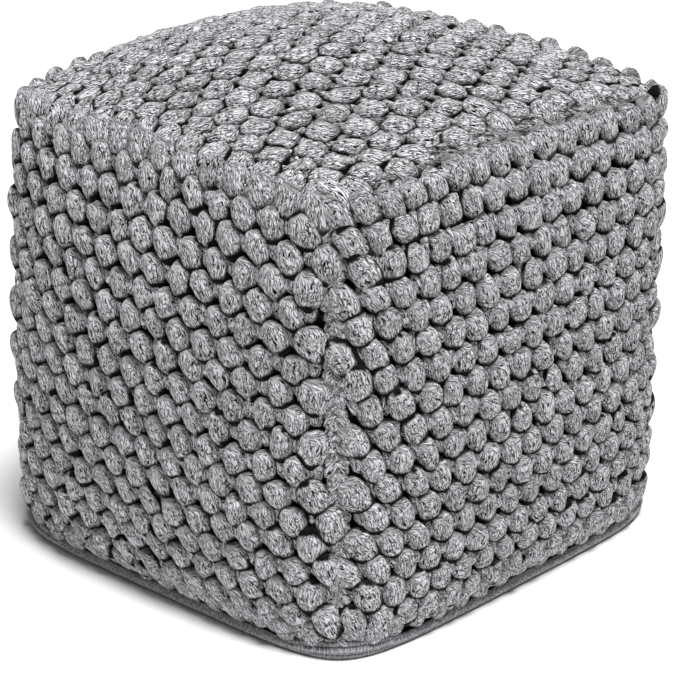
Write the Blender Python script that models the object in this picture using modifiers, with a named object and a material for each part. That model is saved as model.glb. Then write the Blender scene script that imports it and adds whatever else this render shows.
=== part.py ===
"""Knitted cube pouf: one stuffed body of hand-knotted bobbles on a plain woven base.

The body is a filled cushion.  Four side panels and a top panel are sewn at their edges, so
the sides swell between the corner seams, the top is crowned and every seam is drawn in.
Each panel carries rows of bobbles, and every second row is shifted by half a bobble.
The base is a thin sheet of woven cotton whose rim turns up round the foot of the body.

Metres, +Z up, origin on the floor under the middle of the base.
"""
import bmesh
import bpy
import numpy as np
from mathutils import Vector

# ---- driving dimensions ------------------------------------------------------------------
CORNER_HALF = 0.192      # middle of the pouf to a side panel's plane
SIDE_BULGE = 0.0142      # how far the middle of a side swells past that plane
SEAM_HEIGHT = 0.352      # floor to the top seam at a corner
EDGE_RISE = 0.0125       # how much higher that seam runs at the middle of an edge
CROWN = 0.051            # middle of the top above the corners' seam height
CROWN_POWER = 1.28       # 1 is a plain parabola, more is flatter towards the seams
TOP_DRAW = 0.0066        # how far the sides are drawn in at the top seam
FOOT_DRAW = 0.002        # how far they are drawn in at the foot
CORNER_POWER = 6.5       # squareness of the plan: 2 is round, more is squarer
CORNER_DRAG = 0.0108     # how far the -X -Y and +X +Y top corners are dragged to +X and +Y
SEAM_TILT = 0.0044       # how much the first of those corners is higher, and the other lower

BOBBLE_HEIGHT = 0.012    # a side bobble's top above the knitted ground
HOOD_SHARE = 0.65        # height of its upper point, which leans back to the ground
TOP_BOBBLE_HEIGHT = 0.010  # the flatter bobbles of the top panel
SADDLE_SHARE = 0.35      # height between two of those that touch, as a share of that
BOBBLE_SAG = 0.16        # how far their peaks lean to the -Y edge, in row widths
SEAM_HALF = 0.0035       # half the width of the sewn channel along the top edges
SEAM_DRAW = 0.003        # how deep a corner seam is pulled in

SIDE_BOBBLES = (14, 13)  # bobbles in a row of the +X and -X panels, and of the other two
SIDE_ROWS = 17
TOP_BOBBLES = 14
TOP_ROWS = 16

CLOTH = 0.002            # thickness of the woven base
GAP = 0.0003             # air kept between two pieces that touch
RIM_HEIGHT = 0.012       # how high the base turns up round the foot
FOOT_STEP = 0.004        # how far the body leans in behind that rim

WIDTH_SAMPLES = 129      # steps used to space bobbles evenly along an edge


# ---- form of the stuffed body ------------------------------------------------------------
def panel_plan(w, t):
    """One side panel seen from above: distance out from the middle, and distance along."""
    half = CORNER_HALF - FOOT_DRAW * (1.0 - t) ** 4 - TOP_DRAW * t ** 4
    swell = SIDE_BULGE * (1.0 - abs(2.0 * t - 1.0) ** 4) * (1.0 - w * w)
    corner = (1.0 + abs(w) ** CORNER_POWER) ** (-1.0 / CORNER_POWER)
    return (half + swell) * corner, half * w * corner


def even_widths():
    """Parameter w of panel_plan against the share of the panel's width, evenly walked."""
    w = np.linspace(-1.0, 1.0, WIDTH_SAMPLES)
    path = np.array([panel_plan(value, 0.6) for value in w])
    walked = np.concatenate([[0.0], np.cumsum(np.hypot(*np.diff(path, axis=0).T))])
    return walked / walked[-1], w


SHARE, WIDTH = even_widths()


def side_point(turn, s, t):
    """Point of a side panel; turn counts quarter turns from the +X panel, s and t are 0..1."""
    w = float(np.interp(s, SHARE, WIDTH))
    out, along = panel_plan(w, t)
    cos, sin = ((1, 0), (0, 1), (-1, 0), (0, -1))[turn]
    x, y = out * cos - along * sin, out * sin + along * cos
    corner = (x + y) / (2.0 * CORNER_HALF)
    drag = CORNER_DRAG * abs(corner) ** 3 * t * t
    rise = (EDGE_RISE * (1.0 - w * w) - SEAM_TILT * corner) * t * t
    return Vector((x + drag, y + drag, RIM_HEIGHT + t * (SEAM_HEIGHT - RIM_HEIGHT) + rise))


def top_point(s, t):
    """Point of the top panel: its four edges blended across the plan, with the crown on it."""
    south, north = side_point(3, s, 1.0), side_point(1, 1.0 - s, 1.0)
    east, west = side_point(0, t, 1.0), side_point(2, 1.0 - t, 1.0)
    corners = (side_point(3, 0.0, 1.0), side_point(3, 1.0, 1.0),
               side_point(1, 1.0, 1.0), side_point(1, 0.0, 1.0))
    weights = ((1 - s) * (1 - t), s * (1 - t), (1 - s) * t, s * t)
    point = south * (1 - t) + north * t + west * (1 - s) + east * s
    for corner, weight in zip(corners, weights):
        point = point - corner * weight
    u = float(np.interp(s, SHARE, WIDTH))
    v = float(np.interp(t, SHARE, WIDTH))
    open_u, open_v = 1.0 - u * u, 1.0 - v * v
    lift = EDGE_RISE * (open_u * v * v + open_v * u * u)
    tilt = SEAM_TILT * (point.x + point.y) / (2.0 * CORNER_HALF)
    point.z = SEAM_HEIGHT + lift - tilt + CROWN * (open_u * open_v) ** CROWN_POWER
    return point


def normal_of(surface, s, t):
    """Outward normal of a surface function at s, t, from two short steps."""
    step = 0.004
    s0, s1 = max(s - step, 0.0), min(s + step, 1.0)
    t0, t1 = max(t - step, 0.0), min(t + step, 1.0)
    across = surface(s1, t) - surface(s0, t)
    upward = surface(s, t1) - surface(s, t0)
    return across.cross(upward).normalized()


# ---- knitted panels ----------------------------------------------------------------------
def grid_shares(count, first):
    """Shares of a panel's side at its grid lines: both edges, and evenly spaced lines between."""
    return np.concatenate([[0.0], np.arange(first, count, 2.0 * first) / count, [1.0]])


def add_panel(bm, surface, bobbles, rows, phase, channel, blunt):
    """Knitted panel: a grid on a surface, where every second inner point is a bobble's top.

    A blunt bobble has a flat top that leans down, and valleys run between the pits round it.
    The others are low pyramids with saddles between them.  Returns the grid's points with
    their column and line.
    """
    across, upward = grid_shares(bobbles, 0.25), grid_shares(rows, 0.5)
    columns, lines = len(across) - 1, len(upward) - 1
    margin_s, margin_t = channel

    def placed(x, y, height, lower=0.0):
        s = float(np.interp(x, range(columns + 1), across))
        t = float(np.interp(y, range(lines + 1), upward)) - lower / rows
        s = margin_s + s * (1.0 - 2.0 * margin_s)
        t = margin_t[0] + t * (1.0 - margin_t[0] - margin_t[1])
        point = surface(s, t) + normal_of(surface, s, t) * height
        if margin_s == 0.0 and x in (0, columns):
            point -= Vector((point.x, point.y, 0.0)).normalized() * SEAM_DRAW
        return point

    grid = bmesh.ops.create_grid(bm, x_segments=columns, y_segments=lines, size=0.5)["verts"]
    faces = list(dict.fromkeys(face for vert in grid for face in vert.link_faces))
    places = {vert: (k % (columns + 1), k // (columns + 1)) for k, vert in enumerate(grid)}
    pits = {vert for vert in grid if (sum(places[vert]) + phase) % 2}
    peaks = [vert for vert in grid if vert not in pits and not vert.is_boundary]
    if blunt:
        for face in faces:
            bmesh.ops.connect_verts(bm, verts=[vert for vert in face.verts if vert in pits])
        for vert in peaks:
            del places[vert]
        raised = bmesh.ops.bevel(bm, geom=peaks, offset=50.0, offset_type="PERCENT",
                                 affect="VERTICES", segments=1, profile=0.5, material=-1)["verts"]
        for vert in raised:
            x, y = (vert.co.x + 0.5) * columns, (vert.co.y + 0.5) * lines
            line_below = round(x) + int(y) + phase
            above = abs(x - round(x)) < 0.1 and line_below % 2 == 0
            vert.co = placed(x, y, BOBBLE_HEIGHT * (HOOD_SHARE if above else 1.0))
    else:
        for vert in bmesh.ops.poke(bm, faces=faces, center_mode="MEAN")["verts"]:
            x, y = (vert.co.x + 0.5) * columns, (vert.co.y + 0.5) * lines
            beside = min(x, y, columns - x, lines - y) < 1.0
            vert.co = placed(x, y, TOP_BOBBLE_HEIGHT * SADDLE_SHARE * (0.5 if beside else 1.0))
        for vert in peaks:
            vert.co = placed(*places[vert], TOP_BOBBLE_HEIGHT, BOBBLE_SAG)
    for vert in places:
        if blunt or vert not in peaks:
            vert.co = placed(*places[vert], 0.0)
    return places, columns, lines


def border(places, columns, lines, side):
    """The open edges along one side of a panel."""
    axis, value = {"south": (1, 0), "north": (1, lines),
                   "west": (0, 0), "east": (0, columns)}[side]
    chain = {vert for vert, place in places.items() if place[axis] == value}
    edges = dict.fromkeys(edge for vert in places if vert in chain for edge in vert.link_edges)
    return [edge for edge in edges if set(edge.verts) <= chain and edge.is_boundary]


def body_mesh():
    """The stuffed body as one closed mesh."""
    bm = bmesh.new()
    channel = SEAM_HALF / (SEAM_HEIGHT - RIM_HEIGHT)
    rings = []
    for turn in range(4):

        def surface(s, t, turn=turn):
            return side_point(turn, s, t)

        panel = add_panel(bm, surface, SIDE_BOBBLES[turn % 2], SIDE_ROWS, (turn + 1) % 2,
                          (0.0, (0.0, channel)), True)
        rings.append(border(*panel, "north"))
    inset = SEAM_HALF / (2.0 * CORNER_HALF)
    top = add_panel(bm, top_point, TOP_BOBBLES, TOP_ROWS, 1, (inset, (inset, inset)), False)
    for turn, side in enumerate(("east", "north", "west", "south")):
        bmesh.ops.bridge_loops(bm, edges=rings[turn] + border(*top, side))
    bmesh.ops.remove_doubles(bm, verts=bm.verts[:], dist=1e-5)
    add_foot(bm)
    bmesh.ops.triangulate(bm, faces=bm.faces[:])
    bmesh.ops.recalc_face_normals(bm, faces=bm.faces[:])
    return bm


# ---- foot and woven base -----------------------------------------------------------------
def foot_outline(step_in):
    """Plan of the body's foot, point for point as its panels are divided, moved inwards."""
    points = []
    for turn in range(4):
        for share in grid_shares(SIDE_BOBBLES[turn % 2], 0.25)[:-1]:
            point = side_point(turn, share, 0.0).xy
            if share == 0.0:
                point -= point.normalized() * SEAM_DRAW
            points.append(point)
    moved = []
    for before, point, after in zip(points[-1:] + points[:-1], points, points[1:] + points[:1]):
        arrive, leave = (point - before).normalized(), (after - point).normalized()
        mitre = Vector((arrive.y + leave.y, -arrive.x - leave.x)) / (1.0 + arrive.dot(leave))
        moved.append(point - mitre * step_in)
    return moved


def drawn_on(bm, edges, now, then, z):
    """Extrude the edges of one outline to another outline; returns its points in order."""
    made = bmesh.ops.extrude_edge_only(bm, edges=edges)["geom"]
    order = {}
    for vert in (item for item in made if isinstance(item, bmesh.types.BMVert)):
        near = min(range(len(now)), key=lambda k: (now[k] - vert.co.xy).length)
        vert.co = (*then[near], z)
        order[near] = vert
    return [order[k] for k in range(len(now))]


def add_foot(bm):
    """Close the underside: lean in behind the base's rim to a flat sole of half the points."""
    rim = [edge for edge in bm.edges if edge.is_boundary]
    sole = drawn_on(bm, rim, foot_outline(0.0), foot_outline(FOOT_STEP), CLOTH + GAP)
    bmesh.ops.contextual_create(bm, geom=[edge for edge in bm.edges if edge.is_boundary])
    steps = [step for turn in range(4) for step in range(2 * SIDE_BOBBLES[turn % 2] + 1)]
    bmesh.ops.weld_verts(bm, targetmap={sole[k]: sole[k - 1]
                                        for k, step in enumerate(steps) if step % 2})


def base_mesh():
    """Outer skin of the base: a flat bottom and a leaning rim; the cloth is added inwards."""
    bm = bmesh.new()
    lean = FOOT_STEP / (RIM_HEIGHT - CLOTH - GAP)
    slant = (1.0 + lean * lean) ** 0.5
    rim_top = RIM_HEIGHT - GAP - CLOTH * lean / slant
    low, high = (foot_outline(lean * (RIM_HEIGHT - z) - (CLOTH + GAP) * slant)
                 for z in (0.0, rim_top))
    sole = bm.faces.new([bm.verts.new((*point, 0.0)) for point in low])
    drawn_on(bm, sole.edges[:], low, high, rim_top)
    bmesh.ops.recalc_face_normals(bm, faces=bm.faces[:])
    if sole.normal.z > 0.0:
        bmesh.ops.reverse_faces(bm, faces=bm.faces[:])
    return bm


# ---- scene -------------------------------------------------------------------------------
def linear(hex_colour):
    """sRGB hex to the linear values that a shader takes."""
    values = [int(hex_colour[k:k + 2], 16) / 255.0 for k in (0, 2, 4)]
    turned = [v / 12.92 if v <= 0.04045 else ((v + 0.055) / 1.055) ** 2.4 for v in values]
    return (*turned, 1.0)


def material(name, colour, roughness):
    made = bpy.data.materials.new(name)
    made.use_nodes = True
    shader = made.node_tree.nodes["Principled BSDF"]
    shader.inputs["Base Color"].default_value = linear(colour)
    shader.inputs["Roughness"].default_value = roughness
    shader.inputs["Metallic"].default_value = 0.0
    return made


def add_object(name, bm, surface, collection):
    mesh = bpy.data.meshes.new(name)
    bm.to_mesh(mesh)
    bm.free()
    mesh.materials.append(surface)
    mesh.shade_smooth()
    made = bpy.data.objects.new(name, mesh)
    collection.objects.link(made)
    return made


def main():
    for old in list(bpy.data.objects):
        bpy.data.objects.remove(old, do_unlink=True)
    pouf = bpy.data.collections.new("knitted_pouf")
    bpy.context.scene.collection.children.link(pouf)
    add_object("pouf_body", body_mesh(), material("cotton_yarn", "8C8D8F", 0.95), pouf)
    base = add_object("base_panel", base_mesh(), material("woven_cotton", "6E6F72", 0.9), pouf)
    sheet = base.modifiers.new("sheet", "SOLIDIFY")
    sheet.thickness = CLOTH
    sheet.offset = -1.0
    sheet.use_even_offset = True


main()
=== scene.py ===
from math import cos, pi, radians, sin

import bmesh
import bpy
import numpy as np
from mathutils import Matrix, Vector
from mathutils.bvhtree import BVHTree
from mathutils.kdtree import KDTree


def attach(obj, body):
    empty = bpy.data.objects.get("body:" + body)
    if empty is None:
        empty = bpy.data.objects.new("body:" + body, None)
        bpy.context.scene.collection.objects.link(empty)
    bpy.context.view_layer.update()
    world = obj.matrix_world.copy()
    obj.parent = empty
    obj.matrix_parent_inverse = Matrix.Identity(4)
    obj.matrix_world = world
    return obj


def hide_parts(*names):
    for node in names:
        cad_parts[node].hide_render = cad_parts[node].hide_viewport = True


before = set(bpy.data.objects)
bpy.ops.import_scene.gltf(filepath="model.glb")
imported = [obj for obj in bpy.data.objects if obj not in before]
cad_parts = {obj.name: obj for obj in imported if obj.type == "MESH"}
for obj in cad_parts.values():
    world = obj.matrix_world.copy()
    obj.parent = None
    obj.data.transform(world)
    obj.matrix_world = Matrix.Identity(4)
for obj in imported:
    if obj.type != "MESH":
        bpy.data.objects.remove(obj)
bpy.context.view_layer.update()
print("frame:", sorted(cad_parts))


# %% [markdown]
# ## Camera
# The photograph looks at a corner from a little above, through a long lens: the upright seams
# stay almost parallel.  Azimuth is measured from -Y, so 45 degrees faces the near corner.
# %% Camera
AZIMUTH, ELEVATION, ROLL = radians(44.47), radians(22.23), radians(-1.16)
DISTANCE = 2.3130
TARGET = Vector((0.0060, 0.0018, 0.1570))

outward = Vector((sin(AZIMUTH) * cos(ELEVATION), -cos(AZIMUTH) * cos(ELEVATION), sin(ELEVATION)))
level = Vector((cos(AZIMUTH), sin(AZIMUTH), 0.0))
upright = outward.cross(level)
right = level * cos(ROLL) + upright * sin(ROLL)
up = upright * cos(ROLL) - level * sin(ROLL)

camera = bpy.data.objects.new("camera", bpy.data.cameras.new("camera"))
camera.data.sensor_width = 36.0
camera.data.lens = 154.7
camera.matrix_world = Matrix.Translation(TARGET + outward * DISTANCE) @ Matrix(
    (right, up, outward)).transposed().to_4x4()
bpy.context.scene.collection.objects.link(camera)
bpy.context.scene.camera = camera


# %% [markdown]
# ## Materials
# One helper turns an sRGB hex value to linear, and one adds a node with its settings and links.
# %% Helpers for materials
def linear(hex_colour):
    values = [int(hex_colour[k:k + 2], 16) / 255.0 for k in (0, 2, 4)]
    turned = [v / 12.92 if v <= 0.04045 else ((v + 0.055) / 1.055) ** 2.4 for v in values]
    return (*turned, 1.0)


def add_node(tree, kind, settings=None, values=None, links=None):
    """Add a node: settings are its own fields, values and links go to its inputs by name."""
    node = tree.nodes.new(kind)
    for name, value in (settings or {}).items():
        setattr(node, name, value)
    for name, value in (values or {}).items():
        node.inputs[name].default_value = value
    for name, socket in (links or {}).items():
        tree.links.new(socket, node.inputs[name])
    return node


def new_material(name, colour, roughness, sheen):
    """A Principled material with constant finish, whose colour and bump are linked later."""
    made = bpy.data.materials.new(name)
    made.use_nodes = True
    shader = made.node_tree.nodes["Principled BSDF"]
    shader.inputs["Base Color"].default_value = linear(colour)
    shader.inputs["Roughness"].default_value = roughness
    shader.inputs["Specular IOR Level"].default_value = 0.1
    shader.inputs["Sheen Weight"].default_value = sheen
    shader.inputs["Sheen Roughness"].default_value = 0.5
    return made, made.node_tree, shader


# %% [markdown]
# ### Spun cotton yarn
# The yarn is a loose bundle of thin matt strands.  The eye reads short dark gaps between light
# strands, all running along the yarn; the shade in these gaps is painted as a near-black colour,
# besides a bump.  Each bobble's UV map is in millimetres, across and along its strands, so a noise
# that is stretched along V gives strands of a real width.
# %% Cotton yarn
STRAND_MM, STRAND_RUN_MM = 1.8, 8.0
SPLIT_MM, SPLIT_RUN_MM = 4.4, 14.0
FIBRE_MM = 0.8


def stretched_noise(tree, source, across_mm, along_mm, detail):
    """A noise on the yarn's UV map whose grain is so wide and so long."""
    along = add_node(tree, "ShaderNodeMapping", {},
                     {"Scale": (1.0 / across_mm, 1.0 / along_mm, 1.0)}, {"Vector": source})
    return add_node(tree, "ShaderNodeTexNoise", {"noise_dimensions": "2D"},
                    {"Scale": 1.0, "Detail": detail, "Roughness": 0.55},
                    {"Vector": along.outputs["Vector"]}).outputs["Fac"]


def yarn_material(name, colour, gap_shade_colour):
    made, tree, shader = new_material(name, colour, 0.95, 0.04)
    place = add_node(tree, "ShaderNodeUVMap", {"uv_map": "yarn_mm"})
    wander = add_node(tree, "ShaderNodeTexNoise", {}, {"Scale": 0.16, "Detail": 1.0},
                      {"Vector": place.outputs["UV"]})
    shift = add_node(tree, "ShaderNodeVectorMath", {"operation": "SUBTRACT"},
                     {1: (0.5, 0.5, 0.5)}, {0: wander.outputs["Color"]})
    bent = add_node(tree, "ShaderNodeVectorMath", {"operation": "MULTIPLY_ADD"},
                    {1: (3.6, 1.0, 0.0)}, {0: shift.outputs["Vector"], 2: place.outputs["UV"]})
    aways = []
    for across_mm, along_mm in ((STRAND_MM, STRAND_RUN_MM), (SPLIT_MM, SPLIT_RUN_MM)):
        grain = stretched_noise(tree, bent.outputs["Vector"], across_mm, along_mm, 1.0)
        offset = add_node(tree, "ShaderNodeMath", {"operation": "SUBTRACT"}, {1: 0.5}, {0: grain})
        aways.append(add_node(tree, "ShaderNodeMath", {"operation": "ABSOLUTE"}, {},
                              {0: offset.outputs["Value"]}).outputs["Value"])
    narrow = add_node(tree, "ShaderNodeMath", {"operation": "MULTIPLY"}, {1: 2.4}, {0: aways[1]})
    away = add_node(tree, "ShaderNodeMath", {"operation": "MINIMUM"}, {},
                    {0: aways[0], 1: narrow.outputs["Value"]})
    gap = add_node(tree, "ShaderNodeMapRange", {"interpolation_type": "SMOOTHSTEP"},
                   {"From Min": 0.018, "From Max": 0.046}, {"Value": away.outputs["Value"]})
    fibre = stretched_noise(tree, bent.outputs["Vector"], FIBRE_MM, 3.0 * FIBRE_MM, 1.0)
    fuzz = add_node(tree, "ShaderNodeMapRange", {},
                    {"From Min": 0.3, "From Max": 0.7, "To Min": 0.84, "To Max": 1.0},
                    {"Value": fibre})
    # Painted shade from the attribute's red: darker near the ground and in creases, lighter at the
    # top's edge.  Its green is a tone that differs at random, and the fibre noise a finer one.
    painted_shade_tone = add_node(tree, "ShaderNodeAttribute", {"attribute_name": "yarn_painted_shade_tone"})
    parts = add_node(tree, "ShaderNodeSeparateColor", {}, {}, {"Color": painted_shade_tone.outputs["Color"]})
    # Painted shade: the gaps between strands get a near-black colour.
    shade = add_node(tree, "ShaderNodeMix", {"data_type": "RGBA"}, {},
                     {"Factor": gap.outputs["Result"]})
    shade.inputs["A"].default_value = linear(gap_shade_colour)
    shade.inputs["B"].default_value = linear(colour)
    painted_shade = add_node(tree, "ShaderNodeMapRange", {"interpolation_type": "SMOOTHSTEP"},
                    {"From Min": 0.30, "From Max": 0.58, "To Min": 0.0, "To Max": 1.0},
                    {"Value": parts.outputs["Red"]})
    tint = add_node(tree, "ShaderNodeMath", {"operation": "MULTIPLY"}, {},
                    {0: painted_shade.outputs["Result"], 1: parts.outputs["Green"]})
    shade_tone_fuzz = add_node(tree, "ShaderNodeMath", {"operation": "MULTIPLY"}, {},
                    {0: tint.outputs["Value"], 1: fuzz.outputs["Result"]})
    tone = add_node(tree, "ShaderNodeMix", {"data_type": "RGBA", "blend_type": "MULTIPLY"},
                    {"Factor": 1.0}, {"A": shade.outputs["Result"], "B": shade_tone_fuzz.outputs["Value"]})
    tree.links.new(tone.outputs["Result"], shader.inputs["Base Color"])
    height = add_node(tree, "ShaderNodeMapRange", {},
                      {"From Min": 0.0, "From Max": 0.12}, {"Value": away.outputs["Value"]})
    bump = add_node(tree, "ShaderNodeBump", {}, {"Strength": 1.0, "Distance": 0.0012},
                    {"Height": height.outputs["Result"]})
    tree.links.new(bump.outputs["Normal"], shader.inputs["Normal"])
    return made


cotton_yarn = yarn_material("spun_cotton_yarn", "E7E8EB", "0A0A0B")


# %% [markdown]
# ### Woven cotton
# The base is plain weave: every thread goes over one and under the next.  Two sine waves that
# cross give that chequer of raised threads; the threads that lie under are painted darker as shade,
# with a random slub tone.  Real threads lie 0.5 mm apart, too fine to show, so they are drawn
# 0.9 mm apart.
# %% Woven cotton
THREAD_MM = 0.9
SLUB_MM = 1.8


def woven_material(name, colour, gap_shade_colour):
    made, tree, shader = new_material(name, colour, 0.9, 0.15)
    place = add_node(tree, "ShaderNodeUVMap", {"uv_map": "cloth_mm"})
    turned = add_node(tree, "ShaderNodeVectorMath", {"operation": "SCALE"},
                      {"Scale": pi / THREAD_MM}, {0: place.outputs["UV"]})
    parts = add_node(tree, "ShaderNodeSeparateXYZ", {}, {}, {"Vector": turned.outputs["Vector"]})
    warp = add_node(tree, "ShaderNodeMath", {"operation": "SINE"}, {}, {0: parts.outputs["X"]})
    weft = add_node(tree, "ShaderNodeMath", {"operation": "SINE"}, {}, {0: parts.outputs["Y"]})
    over = add_node(tree, "ShaderNodeMath", {"operation": "MULTIPLY"}, {},
                    {0: warp.outputs["Value"], 1: weft.outputs["Value"]})
    raised = add_node(tree, "ShaderNodeMapRange", {"interpolation_type": "SMOOTHSTEP"},
                      {"From Min": -0.7, "From Max": 0.5}, {"Value": over.outputs["Value"]})
    slub = stretched_noise(tree, place.outputs["UV"], SLUB_MM, SLUB_MM, 1.0)
    rough = add_node(tree, "ShaderNodeMapRange", {}, {"From Min": 0.38, "From Max": 0.58},
                     {"Value": slub})
    mixed = add_node(tree, "ShaderNodeMath", {"operation": "MULTIPLY"}, {},
                     {0: raised.outputs["Result"], 1: rough.outputs["Result"]})
    # Painted shade: threads that lie under get the darker colour, mixed with a random slub tone.
    shade = add_node(tree, "ShaderNodeMix", {"data_type": "RGBA"}, {},
                     {"Factor": mixed.outputs["Value"]})
    shade.inputs["A"].default_value = linear(gap_shade_colour)
    shade.inputs["B"].default_value = linear(colour)
    tree.links.new(shade.outputs["Result"], shader.inputs["Base Color"])
    bump = add_node(tree, "ShaderNodeBump", {}, {"Strength": 0.8, "Distance": 0.0006},
                    {"Height": over.outputs["Value"]})
    tree.links.new(bump.outputs["Normal"], shader.inputs["Normal"])
    return made


woven_cotton = woven_material("plain_woven_cotton", "DADBDE", "7C7D80")


# %% [markdown]
# ## The stuffed form
# The cover is four sides and a top.  A side panel is a rounded square's edge in plan that swells
# between the corner seams; the top panel is blended between the four top edges and crowned.
# These are the frame's own sizes, as functions of a share across (s) and a share up (t).
# %% Surfaces
CORNER_HALF = 0.192
SIDE_BULGE = 0.0142
SEAM_HEIGHT = 0.352
EDGE_RISE = 0.0125
CROWN = 0.051
CROWN_POWER = 1.28
TOP_DRAW = 0.0066
FOOT_DRAW = 0.002
CORNER_POWER = 6.5
CORNER_DRAG = 0.0108
SEAM_TILT = 0.0044
RIM_HEIGHT = 0.012


def panel_plan(w, t):
    """A side panel from above: distance out from the middle, and distance along."""
    half = CORNER_HALF - FOOT_DRAW * (1.0 - t) ** 4 - TOP_DRAW * t ** 4
    swell = SIDE_BULGE * (1.0 - np.abs(2.0 * t - 1.0) ** 4) * (1.0 - w * w)
    corner = (1.0 + np.abs(w) ** CORNER_POWER) ** (-1.0 / CORNER_POWER)
    return (half + swell) * corner, half * w * corner


WIDTH = np.linspace(-1.0, 1.0, 129)
walk = np.hypot(*np.diff(np.array(panel_plan(WIDTH, 0.6))))
SHARE = np.concatenate([[0.0], np.cumsum(walk)]) / walk.sum()


def side_point(turn, s, t):
    """Points of a side panel; turn counts quarter turns from the +X side."""
    w = np.interp(s, SHARE, WIDTH)
    out, along = panel_plan(w, t)
    c, n = ((1, 0), (0, 1), (-1, 0), (0, -1))[turn]
    x, y = out * c - along * n, out * n + along * c
    corner = (x + y) / (2.0 * CORNER_HALF)
    drag = CORNER_DRAG * np.abs(corner) ** 3 * t * t
    rise = (EDGE_RISE * (1.0 - w * w) - SEAM_TILT * corner) * t * t
    z = RIM_HEIGHT + t * (SEAM_HEIGHT - RIM_HEIGHT) + rise
    return np.stack([x + drag, y + drag, z], axis=-1)


def top_point(s, t):
    """Points of the top panel: its four edges blended across the plan, with the crown on it."""
    one, zero = np.ones_like(s), np.zeros_like(s)
    s1, t1 = s[..., None], t[..., None]
    south, north = side_point(3, s, one), side_point(1, 1.0 - s, one)
    east, west = side_point(0, t, one), side_point(2, 1.0 - t, one)
    corner = [side_point(3, zero, one), side_point(3, one, one),
              side_point(1, one, one), side_point(1, zero, one)]
    point = south * (1 - t1) + north * t1 + west * (1 - s1) + east * s1
    point -= corner[0] * (1 - s1) * (1 - t1) + corner[1] * s1 * (1 - t1)
    point -= corner[2] * (1 - s1) * t1 + corner[3] * s1 * t1
    u, v = np.interp(s, SHARE, WIDTH), np.interp(t, SHARE, WIDTH)
    open_u, open_v = 1.0 - u * u, 1.0 - v * v
    lift = EDGE_RISE * (open_u * v * v + open_v * u * u)
    tilt = SEAM_TILT * (point[..., 0] + point[..., 1]) / (2.0 * CORNER_HALF)
    point[..., 2] = SEAM_HEIGHT + lift - tilt + CROWN * (open_u * open_v) ** CROWN_POWER
    return point


def tangents(surface, s, t, step=0.004):
    """Unit vectors across, up and out of a surface at s, t."""
    across = surface(np.minimum(s + step, 1.0), t) - surface(np.maximum(s - step, 0.0), t)
    upward = surface(s, np.minimum(t + step, 1.0)) - surface(s, np.maximum(t - step, 0.0))
    out = np.cross(across, upward)
    out /= np.linalg.norm(out, axis=-1, keepdims=True)
    across /= np.linalg.norm(across, axis=-1, keepdims=True)
    return across, np.cross(out, across), out


PANELS = {name: (lambda s, t, turn=turn: side_point(turn, s, t))
          for turn, name in enumerate(("side_east", "side_north", "side_west", "side_south"))}
PANELS["top"] = top_point


# %% [markdown]
# ## The body under the bobbles
# A stuffed cover is best got by stuffing one.  The closed form starts a little inside its size,
# is remeshed to even faces, and a cloth simulation blows it up with the seams held.  The points
# may move only a little, so that the pouf keeps its measured size.
# %% Body
START_SCALE = 0.984
VOXEL = 0.007
SWELL_CAP = 0.0055
PRESSURE = 4.0
GRID = 24
SEAM_HOLD = 0.006
MIDDLE = np.array((0.0, 0.0, 0.19))


def link(name, mesh):
    made = bpy.data.objects.new(name, mesh)
    bpy.context.scene.collection.objects.link(made)
    return made


def body_start():
    """The closed ground form, a little inside its size, from five gridded panels and a sole."""
    bm = bmesh.new()
    for surface in PANELS.values():
        made = bmesh.ops.create_grid(bm, x_segments=GRID, y_segments=GRID, size=0.5)["verts"]
        share = np.array([tuple(vert.co.xy) for vert in made]) + 0.5
        points = surface(share[:, 0], share[:, 1])
        for vert, point in zip(made, MIDDLE + (points - MIDDLE) * START_SCALE):
            vert.co = point
    bmesh.ops.remove_doubles(bm, verts=bm.verts[:], dist=0.0005)
    rim = [edge for edge in bm.edges if edge.is_boundary]
    made = bmesh.ops.extrude_edge_only(bm, edges=rim)["geom"]
    for vert in (item for item in made if isinstance(item, bmesh.types.BMVert)):
        vert.co = (vert.co.x * 0.98, vert.co.y * 0.98, 0.004)
    bmesh.ops.contextual_create(bm, geom=[edge for edge in bm.edges if edge.is_boundary])
    bmesh.ops.recalc_face_normals(bm, faces=bm.faces[:])
    mesh = bpy.data.meshes.new("ground")
    bm.to_mesh(mesh)
    bm.free()
    return link("ground", mesh)


def applied(piece):
    """Replace a piece's mesh by what its modifiers make of it."""
    graph = bpy.context.evaluated_depsgraph_get()
    mesh = bpy.data.meshes.new_from_object(piece.evaluated_get(graph))
    piece.modifiers.clear()
    piece.data = mesh
    return piece


def coordinates(mesh):
    flat = np.empty(3 * len(mesh.vertices))
    mesh.vertices.foreach_get("co", flat)
    return flat.reshape(-1, 3)


def seam_points():
    """Points along the four corner seams, the four top seams and the foot."""
    run = np.linspace(0.0, 1.0, 90)
    full, none = np.ones_like(run), np.zeros_like(run)
    lines = [side_point(turn, none, run) for turn in range(4)]
    lines += [side_point(turn, run, end) for turn in range(4) for end in (full, none)]
    return np.concatenate(lines)


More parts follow.
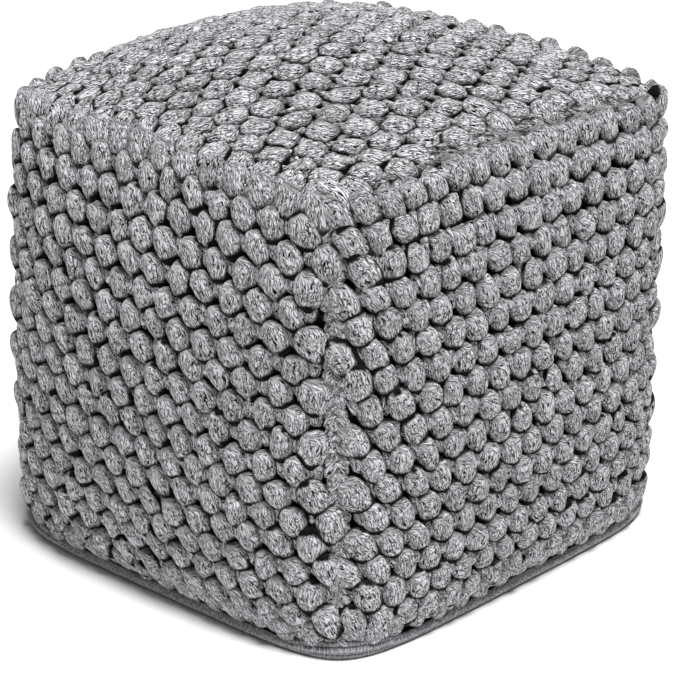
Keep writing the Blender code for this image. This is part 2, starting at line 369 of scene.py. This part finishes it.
def stuffed(piece):
    """Blow the piece up with its seams and its sole held, and cap how far a point moves."""
    start = coordinates(piece.data)
    seams = MIDDLE + (seam_points() - MIDDLE) * START_SCALE
    near = np.array([np.min(np.sum((seams - point) ** 2, axis=1)) for point in start])
    held = np.flatnonzero((near < SEAM_HOLD ** 2) | (start[:, 2] < 0.010))
    piece.vertex_groups.new(name="held").add([int(k) for k in held], 1.0, "ADD")
    cloth = piece.modifiers.new("stuffing", "CLOTH")
    cloth.settings.quality = 4
    cloth.settings.use_pressure = True
    cloth.settings.uniform_pressure_force = PRESSURE
    cloth.settings.effector_weights.gravity = 0.0
    cloth.settings.vertex_group_mass = "held"
    for step in range(1, 21):
        bpy.context.scene.frame_set(step)
    graph = bpy.context.evaluated_depsgraph_get()
    moved = coordinates(piece.evaluated_get(graph).data) - start
    size = np.linalg.norm(moved, axis=1, keepdims=True)
    piece.modifiers.clear()
    bpy.context.scene.frame_set(1)
    ended = start + moved * np.minimum(1.0, SWELL_CAP / np.maximum(size, 1e-9))
    piece.data.vertices.foreach_set("co", ended.ravel())
    piece.data.update()
    print("stuffing moved the ground by up to", round(1000 * float(size.max()), 1), "mm")


ground = body_start()
remesh = ground.modifiers.new("even", "REMESH")
remesh.mode = "VOXEL"
remesh.voxel_size = VOXEL
applied(ground)
stuffed(ground)
ground.data.shade_smooth()
print("ground:", len(ground.data.vertices), "points")


# %% [markdown]
# ## One bobble
# A bobble is a bunch of yarn that swells out of the ground and is tied off below.  Its head stands
# out most, it overhangs its own foot, and its strands run together at a lower tip that tucks back
# in.  It starts as a ball with its poles along the bobble, so that the ball's meridians are the
# strands.  The ball stays coarse, because a thousand are needed: a subdivision rounds them later.
# %% Bobble
BACK = -0.70
PLY = 0.07
BEND, KNOT = 0.18, 0.065
VARIANTS = 8


def bobble(rng, width, length, height, foot, proud, overhang=0.0, meridians=12, rings=6):
    """Points (metres; +Z out of the panel, -Y to the tip), faces, uv and form of one bobble.

    The form's first value is painted shade: from 0.15 at the seat to 1 at proud, darker lower down."""
    bm = bmesh.new()
    bmesh.ops.create_uvsphere(bm, u_segments=meridians, v_segments=rings, radius=1.0)
    bmesh.ops.rotate(bm, verts=bm.verts[:], cent=(0, 0, 0), matrix=Matrix.Rotation(-pi / 2, 3, "X"))
    bmesh.ops.bisect_plane(bm, geom=bm.verts[:] + bm.edges[:] + bm.faces[:], dist=1e-5,
                           plane_co=(0, 0, BACK), plane_no=(0, 0, -1), clear_outer=True)
    ball = np.array([tuple(vert.co) for vert in bm.verts])
    faces = [[vert.index for vert in face.verts] for face in bm.faces]
    bm.free()
    run = np.arccos(np.clip(ball[:, 1], -1.0, 1.0)) / pi
    angle = np.arctan2(ball[:, 0], ball[:, 2])
    girth = np.sin(pi * run) ** (0.55 + 0.90 * run)
    phase = rng.uniform(0.0, 2.0 * pi, 4)
    twist = rng.uniform(-0.5, 0.5) * (run - 0.5) + 0.10 * np.sin(2.0 * pi * run + phase[0])
    turned = angle + twist * girth
    lobes = PLY * np.sin(3.0 * angle + 2.0 * run + phase[1])
    lobes += 0.7 * PLY * np.sin(5.0 * angle + 5.0 * run + phase[2])
    radius = girth * (1.0 + lobes)
    bend = rng.uniform(-BEND, BEND, 2)
    x = width * (radius * np.sin(turned) * (1.14 - 0.24 * run) + bend[0] * np.sin(2.0 * pi * run))
    y = length * (np.cos(pi * run) - 0.08 * girth + bend[1] * girth * np.sin(turned))
    z = foot + height * radius * np.cos(turned) * (1.12 - 0.24 * run) + overhang * y
    x, y, z = np.stack([x, y, z]) + rng.normal(0.0, KNOT * width, (3, len(run)))
    uv = 1000.0 * np.stack([angle * 0.5 * (width + height), run * pi * length], axis=1)
    # Painted shade: the nearer a point lies to the ground, the darker its yarn is painted.
    out = np.clip(0.15 + 0.85 * z / proud, 0.0, 1.0)
    form = np.stack([out, np.ones_like(run), girth], axis=1)
    return np.stack([x, y, z], axis=1), faces, uv, form


rng = np.random.default_rng(7)
SIDE_PROUD, TOP_PROUD = 0.0128, 0.0098


def several(rng, *sizes):
    return [bobble(rng, *sizes) for k in range(VARIANTS)]


east_bobbles = several(rng, 0.0104, 0.0176, 0.0094, 0.0036, SIDE_PROUD, 0.15)
south_bobbles = several(rng, 0.0118, 0.0164, 0.0098, 0.0034, SIDE_PROUD, 0.17)
top_bobbles = several(rng, 0.0128, 0.0140, 0.0080, 0.0014, TOP_PROUD, 0.0)
side_loops = several(rng, 0.0068, 0.0100, 0.0062, 0.0018, SIDE_PROUD, 0.0, 8, 5)
top_loops = several(rng, 0.0066, 0.0088, 0.0048, -0.0006, TOP_PROUD, 0.0, 8, 5)
seam_loops = several(rng, 0.0050, 0.0080, 0.0058, 0.0036, SIDE_PROUD, 0.0, 6, 5)
rim_loops = several(rng, 0.0046, 0.0076, 0.0042, 0.0004, SIDE_PROUD, 0.0, 6, 5)
print("one bobble:", len(top_bobbles[0][0]), "points,", len(top_bobbles[0][1]), "faces")


# %% [markdown]
# ## Rows of bobbles
# Each panel's bobbles stand in rows, every second row shifted by half a bobble.  The knitting was
# pulled while it was filled, so the rows bow a little and the bobbles lie closer in some places.
# Shares run from 0 to 1 across and up a panel.
# %% Rows
EAST_ROWS = {"first": 0.0475, "pitch": 0.0665, "low": -0.0187, "row": 0.0618, "shift": 1,
             "bow": 0.123, "crowd": 0.093, "ends": -0.029, "twist": -0.023,
             "slope": -0.001, "sag": 0.013, "fan": 0.015}
SOUTH_ROWS = {"first": 0.0361, "pitch": 0.0719, "low": -0.0077, "row": 0.0590, "shift": 0,
              "bow": -0.067, "crowd": -0.092, "ends": 0.060, "twist": 0.021,
              "slope": -0.019, "sag": 0.038, "fan": -0.029}
SIDE_ROWS = {"side_east": EAST_ROWS, "side_north": SOUTH_ROWS,
             "side_west": EAST_ROWS, "side_south": SOUTH_ROWS}
PAST_TOP, PAST_FOOT = 0.020, 0.030
TOP_CLEAR, FOOT_CLEAR = 0.018, 0.020


def knitted_rows(knit, beside=0.0, above=0.0):
    """Shares across and up of a side panel's bobbles, or of what lies beside or above them."""
    row, place = np.meshgrid(np.arange(-1, 19), np.arange(-2, 17), indexing="ij")
    s = knit["first"] + (place + beside + 0.5 * ((row + knit["shift"]) % 2)) * knit["pitch"] - 0.5
    t = knit["low"] + (row + above) * knit["row"] - 0.5
    across = s + 0.5 + knit["bow"] * t * t + knit["crowd"] * s * s + knit["ends"] * s ** 3
    across += knit["twist"] * s * t
    upward = t + 0.5 + knit["slope"] * s + knit["sag"] * s * s + knit["fan"] * s * t
    kept = (np.abs(across - 0.5) < 0.5) & (upward > -PAST_FOOT) & (upward < 1.0 + PAST_TOP)
    return across[kept], np.clip(upward[kept], FOOT_CLEAR, 1.0 - TOP_CLEAR)


SEAM_CLEAR, SEAM_SIZE, FOOT_SIZE = 0.014, 1.12, 0.84


def tied_at_seams(knit):
    """The bobbles of a side that are clear of its seams, and their sizes: the last are larger."""
    across, upward = knitted_rows(knit)
    clear = np.minimum(across, 1.0 - across)
    kept = clear > SEAM_CLEAR
    across, upward, clear = across[kept], upward[kept], clear[kept]
    sizes = np.where(clear < knit["pitch"], SEAM_SIZE, 1.0)
    return across, upward, np.where(upward <= FOOT_CLEAR, FOOT_SIZE, sizes)


TOP_FIRST = (-0.8585, -0.8134)
TOP_PITCH = (0.1289, 0.1164)
TOP_SKEW, TOP_BOW = 0.012, (-0.041, 0.015)
TOP_REACH = 0.935


def top_rows(beside=0.0, above=0.0):
    """The same for the top, whose rows are evenly spaced in plan."""
    row, place = np.meshgrid(np.arange(-2, 17), np.arange(-2, 17), indexing="ij")
    u = TOP_FIRST[0] + (place + beside - 0.5 * (row % 2)) * TOP_PITCH[0]
    v = TOP_FIRST[1] + (row + above) * TOP_PITCH[1]
    u, v = u + TOP_SKEW * v + TOP_BOW[0] * v * v, v + TOP_BOW[1] * u * u
    kept = (np.abs(u) < TOP_REACH) & (np.abs(v) < TOP_REACH)
    return np.interp(u[kept], WIDTH, SHARE), np.interp(v[kept], WIDTH, SHARE)


# %% [markdown]
# ### Joining the bobbles
# The bobbles are seated on the stuffed ground, which a ray finds, and each is turned, leant and
# sized a little.  Those beside a seam are larger, as there the yarn is tied twice.  A
# panel is one mesh, joined from copies, because a thousand objects would be slow.
# %% Panels of bobbles
SEAT, TOP_SEAT = 0.0026, 0.0034
FOOT_IN, CORNER_OUT = 0.0020, 0.0045
BESIDE_SEAM = 0.05
ground_tree = BVHTree.FromObject(ground, bpy.context.evaluated_depsgraph_get())


def seated(points, out):
    """Move points along their normals to where the stuffed ground is, and a little off it."""
    found = []
    up = points[:, 2] / SEAM_HEIGHT
    off = SEAT - FOOT_IN * (1.0 - np.minimum(up, 1.0)) ** 6
    corner = np.abs(points[:, 0] * points[:, 1]) / CORNER_HALF ** 2
    off += CORNER_OUT * np.clip(2.0 * corner - 1.0, 0.0, 1.0) * np.clip(4.0 * up - 2.4, 0.0, 1.0)
    if out[:, 2].mean() > 0.5:
        off[:] = TOP_SEAT
    for point, normal, off in zip(points, out, off):
        hit = ground_tree.ray_cast(Vector(point + normal * 0.03), Vector(-normal), 0.06)[0]
        found.append(point if hit is None else np.array(hit) + off * normal)
    return np.array(found)


def creased(points, place, neighbours, head):
    """How far points are inside their own bobble's share of the cover, from 0 at its border.

    The shares are drawn a little towards the heads, as each tip is tucked under other heads."""
    own = np.linalg.norm(points - place - head, axis=1)
    inside = np.full(len(points), 1.0)
    for spot in neighbours:
        other = np.linalg.norm(points - spot - head, axis=1)
        inside = np.minimum(inside, (other - own) / np.linalg.norm(spot - place))
    return np.maximum(inside, -0.04)


def joined(name, surface, across, upward, shapes, heading, sizes, levels, crowd=None, tuck=0.0):
    """Copies of some shapes, set on a panel, as one mesh; heading turns each one's tip."""
    right_way, up_way, out = tangents(surface, across, upward)
    place = seated(surface(across, upward), out)
    points, faces, uvs, forms = [], [], [], []
    total = 0
    for k in range(len(place)):
        shape, parts, uv, form = shapes[int(rng.integers(len(shapes)))]
        turn = heading[k] + rng.normal(0.0, 0.09)
        size = sizes[k] * rng.normal(1.0, 0.045, 3)
        lean = rng.normal(0.0, 0.10, 2)
        shift = rng.normal(0.0, 0.0006, 2)
        local = shape * size
        side = np.cos(turn) * right_way[k] + np.sin(turn) * up_way[k]
        rise = np.cross(out[k], side)
        local[:, :2] += local[:, 2:] * lean
        moved = place[k] + shift[0] * side + shift[1] * rise
        points.append(moved + local @ np.stack([side, rise, out[k]]))
        shade_and_tone = form.copy()
        # Painted shade: where bobbles crowd, their yarn is painted dark in the creases between them.
        if crowd:
            near = [np.array(spot) for spot, _, gap in crowd.find_n(place[k], 8) if gap > 0.016]
            inside = creased(points[-1], place[k], near, tuck * rise)
            shade_and_tone[:, 0] = np.minimum(form[:, 0], CREASE_DARK + CREASE_RUN * inside)
            # Painted light: along the top's edge, the upper parts of the side bobbles are painted
            # lighter.
            if tuck > 0.0 and place[k][2] > SEAM_HEIGHT - 0.010:
                above = np.clip((points[-1][:, 2] - place[k][2]) / RIM_LIT - 0.7, 0.0, 1.0)
                shade_and_tone[:, 0] = np.maximum(shade_and_tone[:, 0], CREASE_DARK + 0.32 * above)
        faces += [[total + v for v in part] for part in parts]
        uvs.append(uv + rng.uniform(0.0, 500.0, 2))
        shade_and_tone[:, 1] = np.clip(rng.normal(0.94, 0.04), 0.8, 1.0)
        forms.append(shade_and_tone)
        total += len(shape)
    mesh = bpy.data.meshes.new(name)
    mesh.from_pydata(np.concatenate(points), [], faces)
    mesh.shade_smooth()
    corner = np.empty(len(mesh.loops), dtype=int)
    mesh.loops.foreach_get("vertex_index", corner)
    layer = mesh.uv_layers.new(name="yarn_mm")
    layer.data.foreach_set("uv", np.concatenate(uvs)[corner].ravel())
    kept = mesh.attributes.new("yarn_painted_shade_tone", "FLOAT_COLOR", "POINT")
    form = np.concatenate(forms)
    kept.data.foreach_set("color", np.column_stack([form, np.ones(len(form))]).ravel())
    mesh.materials.append(cotton_yarn)
    piece = link(name, mesh)
    if levels:
        round_off = piece.modifiers.new("round", "SUBSURF")
        round_off.levels = round_off.render_levels = levels
    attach(piece, "root")
    print(name + ":", len(place), "copies,", len(faces), "faces before rounding")
    return piece


EAST_LEAN, SOUTH_LEAN, TOP_LEAN = radians(22.0), radians(10.0), radians(-45.0)
CORNER_INSET, CORNER_SIZE = 0.028, 1.25
# Painted shade in the creases: its value at a crease, and how fast it lifts inside a bobble.
CREASE_DARK, CREASE_RUN, SIDE_TUCK = 0.34, 3.2, 0.0045
# Painted light at the top's edge: over what height the side bobbles' creases are painted lighter.
RIM_LIT = 0.007


def laid(name, surface, across, upward, shapes, lean, sizes, levels, **more):
    """Join the copies of one panel; lean and sizes may be one value for all of them."""
    whole = np.ones(len(across))
    return joined(name, surface, across, upward, shapes, lean * whole, sizes * whole, levels, **more)


plans = []
for name, knit in SIDE_ROWS.items():
    shapes, lean = ((east_bobbles, EAST_LEAN) if knit is EAST_ROWS else (south_bobbles, SOUTH_LEAN))
    across, upward, sizes = tied_at_seams(knit)
    plans.append(("bobbles_" + name, PANELS[name], across, upward, shapes, lean, sizes, 1))
    across, upward = knitted_rows(knit, 0.52, 0.22)
    laid("loops_" + name, PANELS[name], across, upward, side_loops, lean, 1.0, 0)

across, upward = top_rows()
by_side = np.abs(across - 0.5) > 0.5 - BESIDE_SEAM
by_front = np.abs(upward - 0.5) > 0.5 - BESIDE_SEAM
lean = np.where(by_front, 0.0, np.where(by_side, pi / 2, TOP_LEAN))
plans.append(("bobbles_top", top_point, across, upward, top_bobbles, lean, 1.0, 1))
for name, gap in (("loops_top", (0.5, 0.3)), ("loops_top_between", (0.0, 0.7))):
    laid(name, top_point, *top_rows(*gap), top_loops, TOP_LEAN, 1.0, 0)
inset = np.array([CORNER_INSET, 1.0 - CORNER_INSET])
plans.append(("bobbles_corner", top_point, np.repeat(inset, 2), np.tile(inset, 2), top_bobbles,
              np.array([-0.25, 0.25, 0.25, -0.25]) * pi, CORNER_SIZE, 1))

places = np.concatenate([seated(surface(across, upward), tangents(surface, across, upward)[2])
                         for _, surface, across, upward, *_ in plans[:-1]])
crowd = KDTree(len(places))
for k, place in enumerate(places):
    crowd.insert(place, k)
crowd.balance()
for plan in plans:
    tuck = 0.0 if plan[1] is top_point else SIDE_TUCK
    laid(*plan, crowd=None if plan[0] == "bobbles_corner" else crowd, tuck=tuck)
print("bobbles:", len(places))


# %% [markdown]
# ### Sewn seams
# The panels are joined by a chain of loops: two columns that lean against each other, one on
# each panel's edge, along the four upright seams and round the top.
# %% Seams
LOOP_STEP = 0.0075
CHAIN_SHARE, RIM_INSET = 0.009, 0.026
CHAIN_LEAN = radians(35.0)


def edge_run(length):
    count = int(length / LOOP_STEP)
    return (np.arange(count) + 0.5) / count


for name in SIDE_ROWS:
    run = edge_run(SEAM_HEIGHT)
    left, right = np.full(len(run), CHAIN_SHARE), np.full(len(run), 1.0 - CHAIN_SHARE)
    rim = edge_run(2.0 * CORNER_HALF)
    laid("chain_" + name, PANELS[name], np.concatenate([left, right]), np.tile(run, 2), seam_loops,
         np.repeat([CHAIN_LEAN, -CHAIN_LEAN], len(run)), 1.0, 0)
    laid("rim_" + name, PANELS[name], rim, np.full(len(rim), 1.0 - CHAIN_SHARE), rim_loops,
         pi / 2 - CHAIN_LEAN, 1.0, 0)
rim = edge_run(2.0 * CORNER_HALF)
lean = np.repeat([pi / 2 + CHAIN_LEAN, pi / 2 - CHAIN_LEAN, CHAIN_LEAN, -CHAIN_LEAN], len(rim))
for name, inset, shapes in (("chain_top", CHAIN_SHARE, rim_loops), ("loops_rim", RIM_INSET, top_loops)):
    near, far = np.full(len(rim), inset), np.full(len(rim), 1.0 - inset)
    across = np.concatenate([rim, rim, near, far])
    upward = np.concatenate([near, far, rim, rim])
    laid(name, top_point, across, upward, shapes, lean, 1.0, 0)


# %% [markdown]
# ### The ground's yarn
# Between the bobbles the same yarn lies flatter and in shadow, and that shade is painted into its
# colour: darkest on the sides, less dark on the top, and lighter along the top's edge, where light
# reaches in.  Its tone is also set lower than the bobbles', as more painted shade.
# %% Ground material
RIM_START = 0.172
ground_uv = ground.data.uv_layers.new(name="yarn_mm")
corner = np.empty(len(ground.data.loops), dtype=int)
ground.data.loops.foreach_get("vertex_index", corner)
spots = coordinates(ground.data)[corner]
ground_uv.data.foreach_set("uv", (1000.0 * np.stack(
    [spots[:, 0] + spots[:, 1], spots[:, 2]], axis=1)).ravel())
kept = ground.data.attributes.new("yarn_painted_shade_tone", "FLOAT_COLOR", "POINT")
spots = coordinates(ground.data)
# Painted shade: the ground's red value darkens its yarn, least along the top's edge.
ground_shade = np.where(spots[:, 2] > SEAM_HEIGHT, 0.42, 0.36)
ground_shade[(spots[:, 2] > SEAM_HEIGHT) & (np.abs(spots[:, :2]).max(axis=1) > RIM_START)] = 0.50
kept.data.foreach_set("color", np.column_stack(
    [ground_shade, *np.tile([[0.8], [0.0], [1.0]], len(ground_shade))]).ravel())
ground.data.materials.append(cotton_yarn)
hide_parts("pouf_body")
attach(ground, "root")


# %% [markdown]
# ## The woven base
# The base is one square of plain cloth, sewn round the foot with its edge turned up as a welt.
# It starts as a flat grid whose lines crowd towards the edge; the last twentieth is folded up,
# and at the corners, where there is too much cloth, it lies in tucks.
# %% Base
BASE_LINES, FLAT_LINES = 64, 0.6
FLAT_PART = 0.955
WELT_HEIGHT, WELT_OUT = 0.0062, 0.0036
TUCK_RISE, TUCK_DEPTH = 1.10, 0.0034
CLOTH = 0.0015
BASE_CUT = 0.412


def foot_edge(u, v):
    """Where the foot's outline is, for points of a square's edge."""
    edge = np.zeros((len(u), 3))
    turn = np.where(np.abs(u) >= np.abs(v), np.where(u > 0, 0, 2), np.where(v > 0, 1, 3))
    for k, walk in enumerate((v, -u, -v, u)):
        on = turn == k
        share = np.interp(walk[on], WIDTH, SHARE)
        edge[on] = side_point(k, share, np.zeros(on.sum()))
    return edge[:, :2]


def base_cloth():
    bm = bmesh.new()
    made = bmesh.ops.create_grid(bm, x_segments=BASE_LINES, y_segments=BASE_LINES, size=1.0)["verts"]
    line = np.array([tuple(vert.co.xy) for vert in made])
    flat = np.sign(line) * np.interp(np.abs(line), (0.0, FLAT_LINES, 1.0), (0.0, FLAT_PART, 1.0))
    reach = np.maximum(np.abs(flat).max(axis=1), 1e-6)
    square = flat / reach[:, None]
    edge = foot_edge(square[:, 0], square[:, 1])
    folded = np.clip((reach - FLAT_PART) / (1.0 - FLAT_PART), 0.0, 1.0)
    corner = np.clip((np.abs(square).min(axis=1) - 0.66) / 0.28, 0.0, 1.0)
    walk = square[:, 0] * 7.0 - square[:, 1] * 5.0
    out = WELT_OUT * np.sin(pi * folded) + TUCK_DEPTH * corner * np.sin(5.0 * pi * folded)
    rise = WELT_HEIGHT * folded * (1.0 + TUCK_RISE * corner + 0.08 * np.sin(3.0 * walk))
    radius = np.linalg.norm(edge, axis=1, keepdims=True)
    place = edge * (np.minimum(reach / FLAT_PART, 1.0)[:, None] + out[:, None] / radius)
    for vert, (x, y), z in zip(made, place, rise):
        vert.co = (x, y, CLOTH + z)
    bmesh.ops.reverse_faces(bm, faces=bm.faces[:])
    mesh = bpy.data.meshes.new("base_cloth")
    bm.to_mesh(mesh)
    bm.free()
    mesh.shade_smooth()
    corners = np.empty(len(mesh.loops), dtype=int)
    mesh.loops.foreach_get("vertex_index", corners)
    cut_mm = 500.0 * BASE_CUT * flat
    mesh.uv_layers.new(name="cloth_mm").data.foreach_set("uv", cut_mm[corners].ravel())
    mesh.materials.append(woven_cotton)
    piece = link("base_cloth", mesh)
    thick = piece.modifiers.new("cloth", "SOLIDIFY")
    thick.thickness = CLOTH
    thick.offset = 1.0
    return piece


base = base_cloth()
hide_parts("base_panel")
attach(base, "root")
print("base:", len(base.data.vertices), "points")


# %% [markdown]
# ## Floor and light
# A plain white studio: the floor meets a faintly lit white world, and one wide soft light shines
# from above and a little from the right, so that the top is lightest and the left side darkest.
# %% Stage
def studio_floor():
    bm = bmesh.new()
    bmesh.ops.create_grid(bm, x_segments=1, y_segments=1, size=6.0)
    mesh = bpy.data.meshes.new("floor")
    bm.to_mesh(mesh)
    bm.free()
    made, tree, shader = new_material("matt_white_backdrop", "F6F6F6", 0.9, 0.0)
    mesh.materials.append(made)
    floor = link("floor", mesh)


studio_floor()
sky = bpy.data.lights.new("overhead", "SUN")
sky.energy = 4.4
sky.angle = radians(20.0)
key = bpy.data.objects.new("overhead", sky)
key.rotation_euler = Vector((0.26, -0.085, 0.96)).to_track_quat("Z", "Y").to_euler()
bpy.context.scene.collection.objects.link(key)
world = bpy.data.worlds.new("studio")
world.use_nodes = True
world.node_tree.nodes["Background"].inputs["Color"].default_value = linear("FFFFFF")
world.node_tree.nodes["Background"].inputs["Strength"].default_value = 0.12
bpy.context.scene.world = world
bpy.context.scene.view_settings.view_transform = "Standard"
